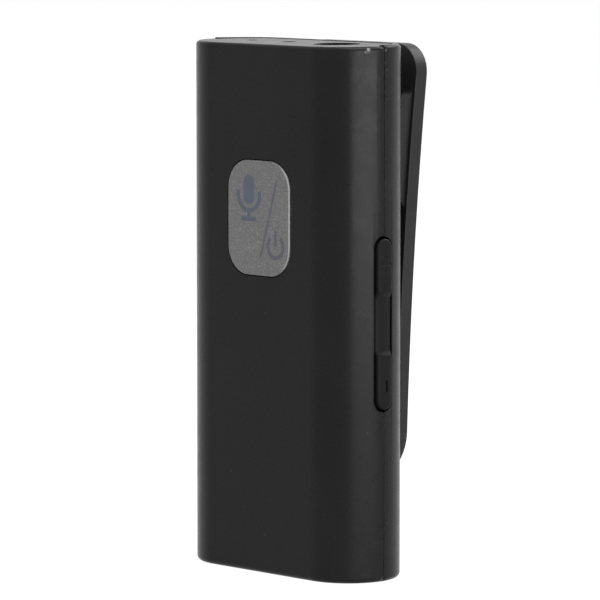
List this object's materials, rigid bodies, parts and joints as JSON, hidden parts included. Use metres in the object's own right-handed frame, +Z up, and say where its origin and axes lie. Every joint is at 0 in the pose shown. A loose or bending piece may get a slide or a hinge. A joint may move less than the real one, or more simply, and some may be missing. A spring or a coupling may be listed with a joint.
{
  "type": "clip-on wireless lavalier microphone pack",
  "caption": "Slim clip-on wireless lavalier pack: two-shell housing, front mode button, side volume rocker, sprung rear clip, top headphone jack and microphone hole.",
  "frame": {"origin": "centre of the flat bottom face of the housing, in the middle of its width and depth", "axes": "+Z up the housing towards the end with the jack and microphone hole, -Y out of the front face with the mode button, +Y out of the back towards the clip, +X towards the side with the volume rocker"},
  "size_m": [0.0284, 0.017, 0.0595],
  "materials": {
    "front_shell": "satin fine-grained moulding",
    "rear_shell": "satin fine-grained moulding",
    "clip": "satin fine-grained moulding",
    "rocker": "satin moulding",
    "button": "metallic orange-peel paint",
    "switch_metal": "tinned",
    "black_plastic": "satin",
    "pin_steel": "drawn",
    "spring_steel": "drawn wire",
    "board": "solder mask",
    "ceramic": "glazed",
    "tin_plate": "tinned",
    "cell_foil": "laminate foil",
    "foam_pad": "adhesive foam",
    "lead_jacket": "silicone jacket",
    "gold_plate": "gold plated",
    "capsule_can": "bare",
    "boot_rubber": "matte",
    "mesh": "woven",
    "lamp_body": "clear resin over phosphor",
    "light_pipe": "frosted translucent"
  },
  "bodies": {
    "housing": {"front_shell": "front_shell", "rear_shell": "rear_shell", "mode_switch": "switch_metal", "volume_up_switch": "switch_metal", "volume_down_switch": "switch_metal", "clip_pin": "pin_steel", "clip_spring": "spring_steel", "main_board": "board", "board_screws": "pin_steel", "board_parts": "ceramic", "shield_can": "tin_plate", "audio_chip": "black_plastic", "chip_antenna": "ceramic", "battery_cell": "cell_foil", "battery_pad": "foam_pad", "battery_leads": "lead_jacket", "jack_housing": "black_plastic", "jack_contacts": "gold_plate", "usb_shell": "tin_plate", "usb_tongue": "black_plastic", "mic_capsule": "capsule_can", "mic_boot": "boot_rubber", "mic_mesh": "mesh", "mic_leads": "tin_plate", "lamp": "lamp_body", "light_pipe": "light_pipe"},
    "clip": {"clip_blade": "clip"},
    "mode_key": {"mode_button": "button", "mode_switch_plunger": "black_plastic"},
    "volume_key": {"volume_rocker": "rocker"},
    "volume_up_pin": {"volume_up_plunger": "black_plastic"},
    "volume_down_pin": {"volume_down_plunger": "black_plastic"}
  },
  "joints": [
    {"name": "clip_hinge", "type": "hinge", "parent": "housing", "child": "clip", "pos_m": [0, 0.00704, 0.0505], "axis": [1, 0, 0], "range_deg": [0, 20], "stiffness_Nm_per_rad": 0.06, "springref_deg": -14.32, "deforming": ["clip_spring"]},
    {"name": "mode_press", "type": "slide", "parent": "housing", "child": "mode_key", "axis": [0, 1, 0], "range_m": [0, 0.00025], "stiffness_N_per_m": 900, "springref_m": -0.0003},
    {"name": "volume_tilt", "type": "hinge", "parent": "housing", "child": "volume_key", "pos_m": [0.012, 0, 0.02875], "axis": [0, 1, 0], "range_deg": [-1.6, 1.6], "stiffness_Nm_per_rad": 0.12},
    {"name": "volume_up_press", "type": "slide", "parent": "housing", "child": "volume_up_pin", "axis": [1, 0, 0], "range_m": [-0.0003, 0.0003]},
    {"name": "volume_down_press", "type": "slide", "parent": "housing", "child": "volume_down_pin", "axis": [1, 0, 0], "range_m": [-0.0003, 0.0003]}
  ],
  "couplings": [
    {"joint": "volume_up_press", "follows": "volume_tilt", "m_per_rad": 0.0065},
    {"joint": "volume_down_press", "follows": "volume_tilt", "m_per_rad": -0.0065}
  ]
}
